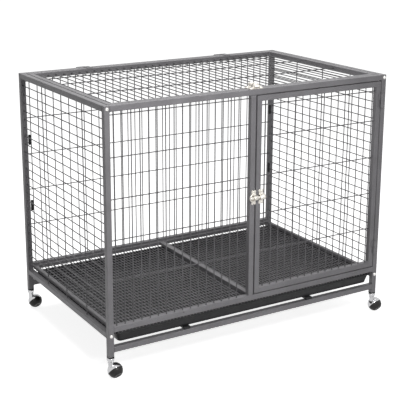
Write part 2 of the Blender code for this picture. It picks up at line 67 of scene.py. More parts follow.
# ---------------------------------------------------------------- materials
class Look:
    """A Principled material whose textures sit in object coordinates, in metres."""

    def __init__(self, name, **values):
        self.material = bpy.data.materials.new(name)
        self.material.use_nodes = True
        self.tree = self.material.node_tree
        self.shader = self.tree.nodes["Principled BSDF"]
        for key, value in values.items():
            self.shader.inputs[key.replace("_", " ")].default_value = value
        self.where = self.add("ShaderNodeTexCoord").outputs["Object"]

    def add(self, kind):
        return self.tree.nodes.new(kind)

    def join(self, output, socket):
        self.tree.links.new(output, socket)

    def stretched(self, x, y, z):
        node = self.add("ShaderNodeMapping")
        node.inputs["Scale"].default_value = (x, y, z)
        self.join(self.where, node.inputs["Vector"])
        return node.outputs["Vector"]

    def noise(self, scale, detail=2.0, rough=0.5, where=None):
        node = self.add("ShaderNodeTexNoise")
        node.inputs["Scale"].default_value = scale
        node.inputs["Detail"].default_value = detail
        node.inputs["Roughness"].default_value = rough
        self.join(where or self.where, node.inputs["Vector"])
        return node.outputs[0]

    def remap(self, fac, low, high, start=0.3, end=0.7):
        node = self.add("ShaderNodeMapRange")
        for key, value in zip(("From Min", "From Max", "To Min", "To Max"), (start, end, low, high)):
            node.inputs[key].default_value = value
        self.join(fac, node.inputs["Value"])
        return node.outputs["Result"]

    def mix(self, fac, a, b, kind="MIX"):
        node = self.add("ShaderNodeMix")
        node.data_type = "RGBA"
        node.blend_type = kind
        sockets = [s for s in node.inputs if s.enabled]
        for socket, value in zip(sockets, (fac, a, b)):
            if isinstance(value, bpy.types.NodeSocket):
                self.join(value, socket)
            elif isinstance(value, tuple):
                socket.default_value = (*value, 1.0)
            else:
                socket.default_value = value
        return [s for s in node.outputs if s.enabled][0]

    def colour(self, output):
        self.join(output, self.shader.inputs["Base Color"])

    def rough(self, output):
        self.join(output, self.shader.inputs["Roughness"])

    def bump(self, height, strength, distance, under=None):
        node = self.add("ShaderNodeBump")
        node.inputs["Strength"].default_value = strength
        node.inputs["Distance"].default_value = distance
        self.join(height, node.inputs["Height"])
        if under:
            self.join(under, node.inputs["Normal"])
        return node.outputs["Normal"]

    def normal(self, output):
        self.join(output, self.shader.inputs["Normal"])


def paint_look(name, dark, light, metallic, rough_low, rough_high):
    """Silver-grey baked paint: slow cloudiness, fine metallic speckle, a soft orange-peel skin."""
    look = Look(name, Metallic=metallic, Specular_IOR_Level=0.3)
    cloud = look.remap(look.noise(9.0, 4.0, 0.6), 0.0, 1.0, 0.35, 0.65)
    base = look.mix(cloud, dark, light)
    speck = look.remap(look.noise(1500.0, 1.0), 0.0, 1.0, 0.35, 0.65)
    flecks = look.mix(speck, (0.84, 0.84, 0.85), (1.12, 1.12, 1.13))
    look.colour(look.mix(1.0, base, flecks, "MULTIPLY"))
    look.rough(look.remap(look.noise(70.0, 3.0), rough_low, rough_high))
    peel = look.bump(look.noise(420.0, 2.0), 0.10, 0.0004)
    look.normal(look.bump(look.noise(1500.0, 1.0), 0.05, 0.0002, peel))
    return look.material


def plastic_look(name, dark, light, rough_low, rough_high, grain, depth):
    """Moulded black plastic: fine spark-eroded grain, faint drag scratches, slow patchiness."""
    look = Look(name, Metallic=0.0, Specular_IOR_Level=0.25)
    cloud = look.remap(look.noise(14.0, 3.0), 0.0, 1.0)
    base = look.mix(cloud, dark, light)
    scratch = look.remap(look.noise(240.0, 2.0, 0.6, look.stretched(1.0, 0.035, 1.0)), 0.0, 1.0, 0.66, 0.74)
    pale = tuple(min(1.0, c * 1.9 + 0.012) for c in light)
    look.colour(look.mix(scratch, base, pale))
    look.rough(look.remap(look.noise(55.0, 3.0), rough_low, rough_high))
    look.normal(look.bump(look.noise(grain, 2.0), 0.35, depth))
    return look.material


def metal_look(name, dark, light, rough_low, rough_high, grain, depth):
    """Plated metal: a little tarnish, smudges in the gloss, a barely uneven surface."""
    look = Look(name, Metallic=1.0)
    tarnish = look.remap(look.noise(45.0, 4.0, 0.6), 0.0, 1.0)
    look.colour(look.mix(tarnish, dark, light))
    look.rough(look.remap(look.noise(160.0, 3.0), rough_low, rough_high))
    look.normal(look.bump(look.noise(grain, 2.0), 0.15, depth))
    return look.material


PAINT = paint_look("frame_grey", (0.172, 0.167, 0.174), (0.208, 0.203, 0.211), 0.12, 0.30, 0.40)
WIRE = paint_look("wire_grey", (0.100, 0.098, 0.102), (0.132, 0.129, 0.134), 0.12, 0.32, 0.42)
MESH = paint_look("mesh_grey", (0.180, 0.176, 0.183), (0.235, 0.230, 0.238), 0.25, 0.32, 0.44)
TRAY = plastic_look("tray_black", (0.016, 0.016, 0.017), (0.024, 0.024, 0.025), 0.34, 0.48, 900.0, 0.0002)
PLUG = plastic_look("plug_black", (0.012, 0.012, 0.013), (0.020, 0.020, 0.021), 0.38, 0.52, 1300.0, 0.00012)
BALL = plastic_look("ball_black", (0.022, 0.021, 0.021), (0.032, 0.031, 0.030), 0.34, 0.46, 1600.0, 0.0001)
CHROME = metal_look("chrome", (0.50, 0.50, 0.51), (0.62, 0.62, 0.63), 0.05, 0.12, 90.0, 0.0002)
NICKEL = metal_look("nickel", (0.64, 0.61, 0.56), (0.82, 0.79, 0.74), 0.30, 0.44, 420.0, 0.0003)
ZINC = metal_look("bright_zinc", (0.74, 0.73, 0.71), (0.88, 0.87, 0.85), 0.20, 0.34, 260.0, 0.0002)
STEEL = metal_look("dark_screw", (0.10, 0.10, 0.10), (0.18, 0.18, 0.18), 0.35, 0.50, 300.0, 0.0002)


# ---------------------------------------------------------------- mesh helpers
def piece(name, bm, look, body, replaces=(), smooth=40.0):
    """Turns a bmesh in cage coordinates into a piece of the object that rides on a body."""
    bmesh.ops.recalc_face_normals(bm, faces=bm.faces)
    bmesh.ops.transform(bm, matrix=TO_FRAME, verts=bm.verts)
    mesh = bpy.data.meshes.new(name)
    bm.to_mesh(mesh)
    bm.free()
    mesh.materials.append(look)
    mesh.shade_smooth()
    mesh.set_sharp_from_angle(angle=math.radians(smooth))
    obj = bpy.data.objects.new(name, mesh)
    bpy.context.scene.collection.objects.link(obj)
    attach(obj, body)
    if replaces:
        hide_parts(*replaces)
    return obj


def skin(bm, rings, cap=True, loop=False):
    """Joins rings of vertices with the same count, in order."""
    pairs = list(zip(rings, rings[1:]))
    if loop:
        pairs.append((rings[-1], rings[0]))
    for a, b in pairs:
        n = len(a)
        for i in range(n):
            j = (i + 1) % n
            bm.faces.new((a[i], a[j], b[j], b[i]))
    if cap and not loop:
        bm.faces.new(list(reversed(rings[0])))
        bm.faces.new(rings[-1])


def circle(bm, centre, u, v, radius, sides):
    ring = []
    for k in range(sides):
        a = 2 * math.pi * k / sides
        ring.append(bm.verts.new(centre + u * (radius * math.cos(a)) + v * (radius * math.sin(a))))
    return ring


def sweep(bm, points, radius, sides=10, blunt=0.45):
    """A round bar along points, its ends rounded over. radius is a number or a function of 0 to 1."""
    size = radius if callable(radius) else (lambda t: radius)
    points = [Vector(p) for p in points]
    steps = [(b - a).normalized() for a, b in zip(points, points[1:])]
    u = steps[0].orthogonal().normalized()
    rings = []
    count = len(points) - 1
    for i, p in enumerate(points):
        before = steps[max(0, i - 1)]
        after = steps[min(i, count - 1)]
        t = (before + after).normalized()
        u = (u - t * u.dot(t)).normalized()
        v = t.cross(u)
        r = size(i / count)
        if i == 0:
            rings.append(circle(bm, p, u, v, r * (1 - blunt), sides))
            rings.append(circle(bm, p + t * (r * blunt), u, v, r, sides))
        elif i == count:
            rings.append(circle(bm, p - t * (r * blunt), u, v, r, sides))
            rings.append(circle(bm, p, u, v, r * (1 - blunt), sides))
        else:
            rings.append(circle(bm, p, u, v, r, sides))
    skin(bm, rings)


def blob(bm, centre, radii, sides=8, rows=5):
    """A small closed lump, such as a drop of weld."""
    place = Matrix.Translation(Vector(centre)) @ Matrix.Diagonal((*radii, 1.0))
    bmesh.ops.create_uvsphere(bm, u_segments=sides, v_segments=rows, radius=1.0, matrix=place)


def lathe(bm, profile, place, sides):
    """A closed surface of revolution about Z from points of radius and height, both ends on the axis."""
    inner = [(r, z) for r, z in profile if r > 1e-7]
    rings = []
    for r, z in inner:
        ring = [Vector((r * math.cos(2 * math.pi * k / sides), r * math.sin(2 * math.pi * k / sides), z))
                for k in range(sides)]
        rings.append([bm.verts.new(place @ p) for p in ring])
    skin(bm, rings, cap=False)
    for end, ring in ((profile[0], rings[0]), (profile[-1], rings[-1])):
        tip = bm.verts.new(place @ Vector((0, 0, end[1])))
        n = len(ring)
        for i in range(n):
            bm.faces.new((ring[i], ring[(i + 1) % n], tip))


def round_box(bm, lo, hi, edge, segments=3):
    """A box between two corners with rounded edges."""
    size = Vector(hi) - Vector(lo)
    middle = (Vector(hi) + Vector(lo)) / 2
    place = Matrix.Translation(middle) @ Matrix.Diagonal((*size, 1.0))
    made = bmesh.ops.create_cube(bm, size=1.0, matrix=place)
    edges = list({e for v in made["verts"] for e in v.link_edges})
    bmesh.ops.bevel(bm, geom=edges, offset=edge, segments=segments, affect="EDGES", profile=0.5)


def hex_head(bm, place, radius, height, recess, depth, sides=24):
    """A domed bolt head along +Z with a six-sided recess."""
    def ring(r, z, six=False):
        made = []
        for k in range(sides):
            a = 2 * math.pi * k / sides
            size = r
            if six:
                inside = (a % (math.pi / 3)) - math.pi / 6
                size = r * math.cos(math.pi / 6) / math.cos(inside)
            made.append(bm.verts.new(place @ Vector((size * math.cos(a), size * math.sin(a), z))))
        return made
    rings = [ring(radius * 0.97, 0.0), ring(radius, height * 0.10), ring(radius * 0.97, height * 0.30),
             ring(radius * 0.88, height * 0.58), ring(radius * 0.72, height * 0.82),
             ring(radius * 0.52, height * 0.97), ring(recess * 1.06, height, True),
             ring(recess, height * 0.95, True), ring(recess * 0.96, height * 0.95 - depth, True)]
    skin(bm, rings)


# ---------------------------------------------------------------- frame tubes: the solids stay
TUBES = ("post_f", "post_b", "top_rail", "bottom_rail", "sill", "low_rail")
PAINTED = [n for n in nodes if n.startswith(TUBES)]
PAINTED += ["centre_post", "floor_frame", "door_frame", "lid_frame"]
RUNNERS = ["tray_runner_left", "tray_runner_right"]
EDGE = {"door_frame": 0.0019, "lid_frame": 0.0019, "floor_frame": 0.0014}
for name in PAINTED + RUNNERS:
    obj = nodes[name]
    obj.data.materials.clear()
    obj.data.materials.append(PLUG if name in RUNNERS else PAINT)
    weld = obj.modifiers.new("weld", "WELD")
    weld.merge_threshold = 0.00002
    bevel = obj.modifiers.new("round", "BEVEL")
    bevel.width = EDGE.get(name, 0.0005)
    bevel.segments = 3 if name in EDGE else 2
    bevel.limit_method = "ANGLE"
    bevel.angle_limit = math.radians(30)
    bevel.use_clamp_overlap = True


# ---------------------------------------------------------------- wire nets
WIRE_R = 0.00175
LAP = 0.0013


def plane_front(u, v, w):
    return Vector((u, HALF - w, v))


def plane_back(u, v, w):
    return Vector((u, DEPTH - HALF + w, v))


def plane_left(u, v, w):
    return Vector((HALF - w, u, v))


def plane_right(u, v, w):
    return Vector((LENGTH - HALF + w, u, v))


def plane_lid(u, v, w):
    return Vector((u, v, LID_MID + w))


def wire_net(name, plane, upright, level, u_span, v_span, outer_upright, body, node, end=0.0012):
    """A welded net: wires along v at each u in upright, wires along u at each v in level. A lump of
    weld joins each crossing, and each wire end sinks a little into the tube, with a bead round it."""
    bm = bmesh.new()
    w_up = LAP if outer_upright else -LAP
    origin = plane(0, 0, 0)
    u_way = plane(1, 0, 0) - origin
    v_way = plane(0, 1, 0) - origin
    w_way = plane(0, 0, 1) - origin
    for u in upright:
        a = plane(u, v_span[0] - end, w_up)
        b = plane(u, v_span[1] + end, w_up)
        sweep(bm, [a, b], WIRE_R, 10)
        for v in v_span:
            size = u_way * 0.0030 + v_way * 0.0013 + w_way * 0.0029
            blob(bm, plane(u, v, w_up * 0.8), [abs(x) for x in size])
    for v in level:
        a = plane(u_span[0] - end, v, -w_up)
        b = plane(u_span[1] + end, v, -w_up)
        sweep(bm, [a, b], WIRE_R, 10)
        for u in u_span:
            size = u_way * 0.0013 + v_way * 0.0030 + w_way * 0.0029
            blob(bm, plane(u, v, -w_up * 0.8), [abs(x) for x in size])
        for u in upright:
            size = u_way * 0.0024 + v_way * 0.0024 + w_way * 0.0013
            blob(bm, plane(u, v, 0.0), [abs(x) for x in size], 8, 4)
    return piece(name, bm, WIRE, body, (node,))


ROWS = [0.250 + 0.132 * k for k in range(5)]
wire_net("front_wires", plane_front, [0.033 + 0.030 * k for k in range(16)], ROWS,
         (TUBE, CENTRE_POST[0]), (SILL_TOP, RAIL_UNDER), True, "cage", "net_front")
wire_net("back_wires", plane_back, [0.035 + 0.030 * k for k in range(35)], ROWS,
         (TUBE, LENGTH - TUBE), (SILL_TOP, RAIL_UNDER), True, "cage", "net_back")
SIDE_LEVELS = [0.104 + 0.030 * k for k in range(23)]
SIDE_COLUMNS = [0.182, 0.342, 0.502]
for side, plane in (("left", plane_left), ("right", plane_right)):
    wire_net(side + "_wires", plane, SIDE_COLUMNS, SIDE_LEVELS, (TUBE, DEPTH - TUBE),
             (SIDE_RAIL[1], RAIL_UNDER), False, "cage", "net_" + side)
wire_net("door_wires", plane_front, [0.587 + 0.030 * k for k in range(16)],
         [0.250, 0.382, 0.514, 0.646, 0.752], DOOR_U[1:3], DOOR_V[1:3], True, "door", "door_net")
wire_net("lid_wires", plane_lid, [0.035 + 0.030 * k for k in range(1, 34)], [0.242, 0.442],
         LID_U[1:3], LID_V[1:3], False, "lid", "lid_net")


# ---------------------------------------------------------------- floor mesh, in two panels
FLOOR_R = 0.0012
FLOOR_LAP = 0.0008
FLOOR_MID = 0.0783
for side, x0, x1 in (("left", 0.0198, 0.5552), ("right", 0.5562, 1.0702)):
    bm = bmesh.new()
    pitch = 0.0125
    count = int((x1 - x0 - 0.004) / pitch)
    start = (x0 + x1 - count * pitch) / 2
    for k in range(count + 1):
        x = start + pitch * k
        z = FLOOR_MID + FLOOR_LAP
        sweep(bm, [(x, 0.0022, z), (x, DEPTH - 0.0022, z)], FLOOR_R, 6)
    for k in range(27):
        y = 0.017 + 0.025 * k
        sweep(bm, [(x0, y, FLOOR_MID - FLOOR_LAP), (x1, y, FLOOR_MID - FLOOR_LAP)], FLOOR_R, 6)
    piece("floor_wires_" + side, bm, MESH, "cage", ("floor_mesh_" + side,))


# ---------------------------------------------------------------- weld seams in the inner corners
def seam(bm, a, b, radius=0.0013):
    """A rippled fillet of weld between two points."""
    a, b = Vector(a), Vector(b)
    n = 14
    points = [a.lerp(b, k / n) for k in range(n + 1)]
    sizes = [radius * (0.86 + 0.20 * (k % 2) + rng.uniform(-0.06, 0.06)) for k in range(n + 1)]
    sweep(bm, points, lambda t: sizes[round(t * n)], 8)


seams = bmesh.new()
IN = 0.0007
back = DEPTH - TUBE
right = LENGTH - TUBE
inset = 0.0016
for x, turn in ((TUBE, 1), (right, -1)):
    for y in (0.0, back):
        for z, up in ((RAIL_UNDER, -1), (SILL_TOP, 1), (SILL_UNDER, -1), (LOW_RAIL[1], 1), (LOW_RAIL[0], -1)):
            a = (x + turn * IN, y + inset, z + up * IN)
            seam(seams, a, (a[0], y + TUBE - inset, a[2]))
for y, turn in ((TUBE, 1), (back, -1)):
    for x in (0.0, right):
        for z, up in ((RAIL_UNDER, -1), (SIDE_RAIL[1], 1), (SIDE_RAIL[0], -1)):
            a = (x + inset, y + turn * IN, z + up * IN)
            seam(seams, a, (x + TUBE - inset, a[1], a[2]))
for x, turn in ((CENTRE_POST[0], -1), (CENTRE_POST[1], 1)):
    for z, up in ((SILL_TOP, 1), (RAIL_UNDER, -1)):
        seam(seams, (x + turn * IN, inset, z + up * IN), (x + turn * IN, TUBE - inset, z + up * IN))
piece("weld_seams", seams, PAINT, "cage")


def mitres(name, plane, us, vs, w0, w1, body):
    """Thin raised seams along the mitred corners of a tube frame, on its two faces."""
    bm = bmesh.new()
    for u_out, u_in in (us[:2], us[:1:-1]):
        for v_out, v_in in (vs[:2], vs[:1:-1]):
            for w in (w0, w1):
                a = plane(u_out, v_out, w).lerp(plane(u_in, v_in, w), 0.10)
                b = plane(u_out, v_out, w).lerp(plane(u_in, v_in, w), 0.94)
                points = [a.lerp(b, k / 12) for k in range(13)]
                sweep(bm, points, lambda t: 0.00055 + 0.00012 * math.sin(60 * t), 6)
    return piece(name, bm, PAINT, body)


FACE_OUT = 0.0094
mitres("door_mitres", plane_front, DOOR_U, DOOR_V, FACE_OUT, -FACE_OUT, "door")
mitres("lid_mitres", plane_lid, LID_U, LID_V, FACE_OUT, -FACE_OUT, "lid")


# ---------------------------------------------------------------- tray
def tray_piece():
    """A vacuum-formed pan: sloping walls, rounded corners, a rim that rolls over and down."""
    x0, x1, y0, y1 = 0.0215, 1.0685, 0.0015, 0.652
    corner = 7

    def loop(bm, in_x, in_y, z, radius):
        ring = []
        cx = (x0 + in_x + radius, x1 - in_x - radius)
        cy = (y0 + in_y + radius, y1 - in_y - radius)
        for k, (ix, iy) in enumerate(((1, 1), (0, 1), (0, 0), (1, 0))):
            for s in range(corner + 1):
                a = math.pi / 2 * (k + s / corner)
                ring.append(bm.verts.new((cx[ix] + radius * math.cos(a), cy[iy] + radius * math.sin(a), z)))
        return ring

    steps = [
        (0.0270, 0.0170, 0.0428, 0.008), (0.0204, 0.0112, 0.0430, 0.010), (0.0188, 0.0098, 0.0440, 0.011),
        (0.0168, 0.0086, 0.0490, 0.013), (0.0104, 0.0062, 0.0610, 0.018), (0.0044, 0.0040, 0.0706, 0.022),
        (0.0024, 0.0023, 0.0722, 0.0235), (0.0008, 0.0008, 0.0716, 0.0245), (0.0001, 0.0001, 0.0722, 0.025),
        (0.0000, 0.0000, 0.0740, 0.025), (0.0005, 0.0005, 0.0754, 0.0247), (0.0017, 0.0017, 0.0760, 0.024),
        (0.0032, 0.0031, 0.0759, 0.023), (0.0046, 0.0044, 0.0751, 0.0222), (0.0056, 0.0054, 0.0735, 0.0215),
        (0.0120, 0.0080, 0.0625, 0.017), (0.0180, 0.0104, 0.0510, 0.012), (0.0204, 0.0116, 0.0468, 0.010),
        (0.0222, 0.0134, 0.0456, 0.009), (0.0280, 0.0190, 0.0454, 0.008)]
    bm = bmesh.new()
    rings = [loop(bm, *s) for s in steps]
    skin(bm, rings)
    return piece("tray_pan", bm, TRAY, "tray", ("tray",), 60.0)


tray_piece()


# ---------------------------------------------------------------- hinges
HINGE_R = 0.0045
HINGE_HALF = 0.025
LEAF_W = 0.0105
LEAF = 0.0015


def hinge_piece(name, place, along, side, body, node, leaf_w=LEAF_W):
    """Half of a barrel hinge about Z at place: a knuckle with rounded ends, its leaf, and on the
    lower half the pin with its head."""
    bm = bmesh.new()
    z0, z1 = sorted((along * 0.00015, along * HINGE_HALF))
    pin_half = along < 0
    top = z1 - z0
    knuckle = [(0.0024, 0.0), (HINGE_R - 0.0006, 0.0), (HINGE_R - 0.0002, 0.0002), (HINGE_R, 0.0007),
               (HINGE_R, top - 0.0007), (HINGE_R - 0.0002, top - 0.0002), (HINGE_R - 0.0006, top),
               (0.0024, top)]
    shift = place @ Matrix.Translation((0, 0, z0))
    rings = []
    for r, z in knuckle:
        spots = [(r * math.cos(2 * math.pi * k / 24), r * math.sin(2 * math.pi * k / 24), z)
                 for k in range(24)]
        rings.append([bm.verts.new(shift @ Vector(spot)) for spot in spots])
    skin(bm, rings, loop=True)
    leaf = bmesh.new()
    near, far = sorted((side * 0.0018, side * (0.0018 + leaf_w)))
    round_box(leaf, (near, HINGE_R - LEAF, z0 + 0.0006), (far, HINGE_R, z1 - 0.0006), 0.0005, 2)
    for f in leaf.faces:
        bm.faces.new([bm.verts.new(place @ v.co) for v in f.verts])
    leaf.free()
    if pin_half:
        pin = [(0.0, z0 - 0.0004), (0.0018, z0 - 0.0004), (0.0022, z0 + 0.0002), (0.0022, 0.0215),
               (0.0, 0.0222)]
        lathe(bm, pin, place, 20)
    bmesh.ops.remove_doubles(bm, verts=bm.verts, dist=0.000001)
    return piece(name, bm, PAINT, body, (node,))


DOOR_AXIS = (1.0695, -0.0048)
LID_AXIS = (0.6888, 0.8053)
for level, z in (("low", 0.178), ("top", 0.718)):
    place = Matrix.Translation((*DOOR_AXIS, z))
    hinge_piece("post_knuckle_" + level, place, -1, 1, "cage", "post_hinge_" + level)
    hinge_piece("door_knuckle_" + level, place, 1, -1, "door", "door_hinge_" + level)
RAIL_TURN = Matrix(((0, 0, 1, 0), (0, -1, 0, 0), (1, 0, 0, 0), (0, 0, 0, 1)))
STRAP_TURN = Matrix(((0, 0, 1, 0), (1, 0, 0, 0), (0, 1, 0, 0), (0, 0, 0, 1)))
LID_STRAP = 0.037
for side, x in (("left", 0.250), ("right", 0.840)):
    place = Matrix.Translation((x, *LID_AXIS))
    hinge_piece("rail_knuckle_" + side, place @ RAIL_TURN, -1, -1, "cage", "rail_hinge_" + side)
    hinge_piece("lid_knuckle_" + side, place @ STRAP_TURN, 1, -1, "lid", "lid_hinge_" + side, LID_STRAP)


# ---------------------------------------------------------------- latches
LATCH_OUT = 0.0093
BARREL_R = 0.0090
BORE_R = 0.0053
PLATE_T = 0.0025
FACE = -0.0003


def smooth_line(points, per=5):
    """A closed smooth line through points."""
    made = []
    n = len(points)
    for i in range(n):
        p0, p1, p2, p3 = (Vector(points[(i + k) % n]) for k in (-1, 0, 1, 2))
        for s in range(per):
            t = s / per
            made.append(0.5 * (2 * p1 + (p2 - p0) * t + (2 * p0 - 5 * p1 + 4 * p2 - p3) * t * t
                               + (3 * p1 - 3 * p2 + p3 - p0) * t ** 3))
    return made


def latch_plate(bm, middle, half, turn):
    """A pressed plate with two ears at each end, flat on the plane Y = FACE and facing -Y."""
    side = [(0.0, 0.0226), (0.30, 0.0240), (0.62, 0.0254), (0.90, 0.0232), (0.985, 0.0195), (0.90, 0.0155),
            (0.82, 0.0115), (0.92, 0.0070), (0.97, 0.0)]
    outline = [(half * u, v) for u, v in side]
    outline += [(half * u, -v) for u, v in reversed(side[:-1])]
    outline += [(-half * u, -v) for u, v in side[1:]]
    outline += [(-half * u, v) for u, v in reversed(side[1:-1])]
    line = smooth_line([(u, v, 0) for u, v in outline], 3)
    rings = []
    for share, y in ((0.97, FACE), (1.0, FACE - 0.0004), (1.0, FACE - PLATE_T + 0.0007),
                     (0.975, FACE - PLATE_T + 0.0002), (0.93, FACE - PLATE_T)):
        ring = [bm.verts.new(turn @ Vector((middle + p.x * share, y, p.y * (1 + (share - 1) * 0.5))))
                for p in line]
        rings.append(ring)
    skin(bm, rings)


def latch_saddle(bm, s0, s1, turn, ridges=()):
    """The arched strap over the bolt: an omega-shaped section with a round bore, along X."""
    skirt = [(-0.0122, 0.0030), (-0.0106, 0.0034), (-0.0096, 0.0046)]
    arch = []
    for k in range(21):
        a = math.radians(198 - 216 * k / 20)
        arch.append((BARREL_R * math.cos(a), LATCH_OUT + BARREL_R * math.sin(a)))
    section = skirt + arch + [(-t, n) for t, n in reversed(skirt)]
    section += [(0.0070, 0.0026), (0.0, 0.0026), (-0.0070, 0.0026)]

    def ring(s, grow):
        made = []
        for t, n in section:
            made.append(bm.verts.new(turn @ Vector((s, -(LATCH_OUT + (n - LATCH_OUT) * grow), t * grow))))
        return made

    def bore(s):
        made = []
        for t, n in section:
            a = math.atan2(n - LATCH_OUT, t)
            spot = Vector((s, -(LATCH_OUT + BORE_R * math.sin(a)), BORE_R * math.cos(a)))
            made.append(bm.verts.new(turn @ spot))
        return made

    low = 0.955 if ridges else 1.0
    stops = [(s0, low - 0.05), (s0 + 0.0006, low)]
    for r in ridges:
        stops += [(r - 0.0010, low), (r - 0.0005, 1.0), (r + 0.0005, 1.0), (r + 0.0010, low)]
    stops += [(s1 - 0.0006, low), (s1, low - 0.05)]
    rings = [bore(s0)] + [ring(s, g) for s, g in stops] + [bore(s1)]
    skin(bm, rings, loop=True)


def latch_screws(bm, middle, turn, spread=0.0190):
    for end in (-1, 1):
        spot = Matrix.Translation((middle, FACE - PLATE_T + 0.0002, end * spread))
        spot = spot @ Matrix.Rotation(math.pi / 2, 4, "X")
        hex_head(bm, turn @ spot, 0.0036, 0.0019, 0.0014, 0.0010, 18)


def latch_bolt(name, hook_x, tip_x, turn, body, node):
    """The round bolt with its C-shaped pull at the left end."""
    bm = bmesh.new()
    along = turn @ Matrix.Translation((0, -LATCH_OUT, 0)) @ Matrix.Rotation(math.pi / 2, 4, "Y")
    r = 0.0050
    shaft = [(0.0, hook_x - 0.0008), (r - 0.0012, hook_x - 0.0006), (r - 0.0003, hook_x + 0.0004),
             (r, hook_x + 0.0016), (r, tip_x - 0.0032), (r - 0.0004, tip_x - 0.0020),
             (r - 0.0016, tip_x - 0.0004), (0.0, tip_x)]
    lathe(bm, shaft, along, 28)
    path = []
    for k in range(25):
        a = math.radians(80 + 200 * k / 24)
        path.append(turn @ Vector((hook_x + 0.0110 + 0.0120 * math.cos(a), -LATCH_OUT, 0.0120 * math.sin(a))))
    sweep(bm, path, lambda t: 0.0022 + 0.0003 * math.sin(math.pi * t), 12)
    blob(bm, turn @ Vector((hook_x + 0.0002, -LATCH_OUT, 0.0)), (0.0030, 0.0030, 0.0030), 14, 9)
    return piece(name, bm, NICKEL, body, (node,))


FRONT_LATCH = Matrix.Translation((0, 0, 0.4465))
TOP_TURN = Matrix(((0, 0, -1, 0), (1, 0, 0, 0), (0, -1, 0, 0), (0, 0, 0, 1)))
TOP_LATCH = Matrix.Translation((0.5485, 0, POST_H)) @ TOP_TURN

for where, turn, bracket, keeper, hook, tip, other in (
        ("front", FRONT_LATCH, (0.5295, 0.5478, 0.5340), (0.5577, 0.5775), 0.5215, 0.5820, "door"),
        ("top", TOP_LATCH, (0.0010, 0.0185, 0.0050), (0.0232, 0.0407), -0.0040, 0.0530, "lid")):
    bm = bmesh.new()
    middle = (bracket[0] + bracket[1]) / 2
    latch_plate(bm, middle, (bracket[1] - bracket[0]) / 2, turn)
    latch_saddle(bm, bracket[2], bracket[1], turn)
    latch_screws(bm, middle, turn)
    piece("latch_body_" + where, bm, NICKEL, "cage", ("latch_bracket_" + where,))
    bm = bmesh.new()
    middle = sum(keeper) / 2
    latch_plate(bm, middle, (keeper[1] - keeper[0]) / 2, turn)
    third = (keeper[1] - keeper[0]) / 4
    latch_saddle(bm, keeper[0], keeper[1], turn, [keeper[0] + third * k for k in (1, 2, 3)])
    latch_screws(bm, middle, turn)
    piece("latch_keep_" + where, bm, NICKEL, other, ("latch_keeper_" + where,))
    latch_bolt("latch_pull_" + where, hook, tip, turn, where + "_bolt", "latch_bolt_" + where)


# ---------------------------------------------------------------- dome bolts, screws and clips
TO_FRONT = Matrix.Rotation(math.pi / 2, 4, "X")
TO_BACK = Matrix.Rotation(-math.pi / 2, 4, "X")
for level, z in (("low", 0.071), ("top", 0.7985)):
    for side, x in (("left", HALF), ("right", LENGTH - HALF)):
        bm = bmesh.new()
        hex_head(bm, Matrix.Translation((x, 0.0, z)) @ TO_FRONT, 0.0060, 0.0037, 0.0019, 0.0014, 30)
        piece("dome_front_" + level + "_" + side, bm, ZINC, "cage",
              ("frame_bolt_" + level + "_" + side,))
        bm = bmesh.new()
        hex_head(bm, Matrix.Translation((x, DEPTH, z)) @ TO_BACK, 0.0060, 0.0037, 0.0019, 0.0014, 30)
        piece("dome_back_" + level + "_" + side, bm, ZINC, "cage")

bm = bmesh.new()
hex_head(bm, Matrix.Translation((0.272, 0.0, 0.0970)) @ TO_FRONT, 0.0030, 0.0014, 0.0011, 0.0008, 18)
piece("sill_screw", bm, STEEL, "cage")


def clip_piece(name, x, y, turn_x, turn_y, z0, z1):
    """A moulded clip in the inner corner beside a post: a rounded block, waisted, with two ribs."""
    bm = bmesh.new()
    depth = 0.0075
    xs = sorted((x, x + turn_x * depth))
    ys = sorted((y, y + turn_y * depth))
    round_box(bm, (xs[0], ys[0], z0), (xs[1], ys[1], z1), 0.0014, 3)
    height = z1 - z0
    for share in (0.22, 0.78):
        z = z0 + height * share
        rib_low = (xs[0] - 0.0004, ys[0] - 0.0004, z - 0.0022)
        rib_high = (xs[1] + 0.0004, ys[1] + 0.0004, z + 0.0022)
        round_box(bm, rib_low, rib_high, 0.0008, 2)
    piece(name, bm, PLUG, "cage")


for side, x, turn_x in (("left", TUBE, 1), ("right", right, -1)):
    for k, (z0, z1) in enumerate(((0.305, 0.344), (0.550, 0.587))):
        clip_piece("clip_back_%s_%d" % (side, k), x, back, turn_x, -1, z0, z1)
    clip_piece("clip_front_" + side, x, TUBE, turn_x, 1, 0.545, 0.578)


# ---------------------------------------------------------------- casters
TILT = math.radians(40.0)
HEADING = math.radians(-80.0)
AXLE = Vector((math.cos(HEADING) * math.cos(TILT), math.sin(HEADING) * math.cos(TILT), -math.sin(TILT)))
TO_AXLE = Vector((0, 0, 1)).rotation_difference(AXLE).to_matrix().to_4x4()
BALL_R = 0.0249
HOOD_R = 0.02590
TRAIL = 0.016
BALL_CENTRE_H = 0.02497


def arc(radius, start, end, steps):
    points = []
    for k in range(steps + 1):
        a = math.radians(start + (end - start) * k / steps)
        points.append((radius * math.cos(a), radius * math.sin(a)))
    return points


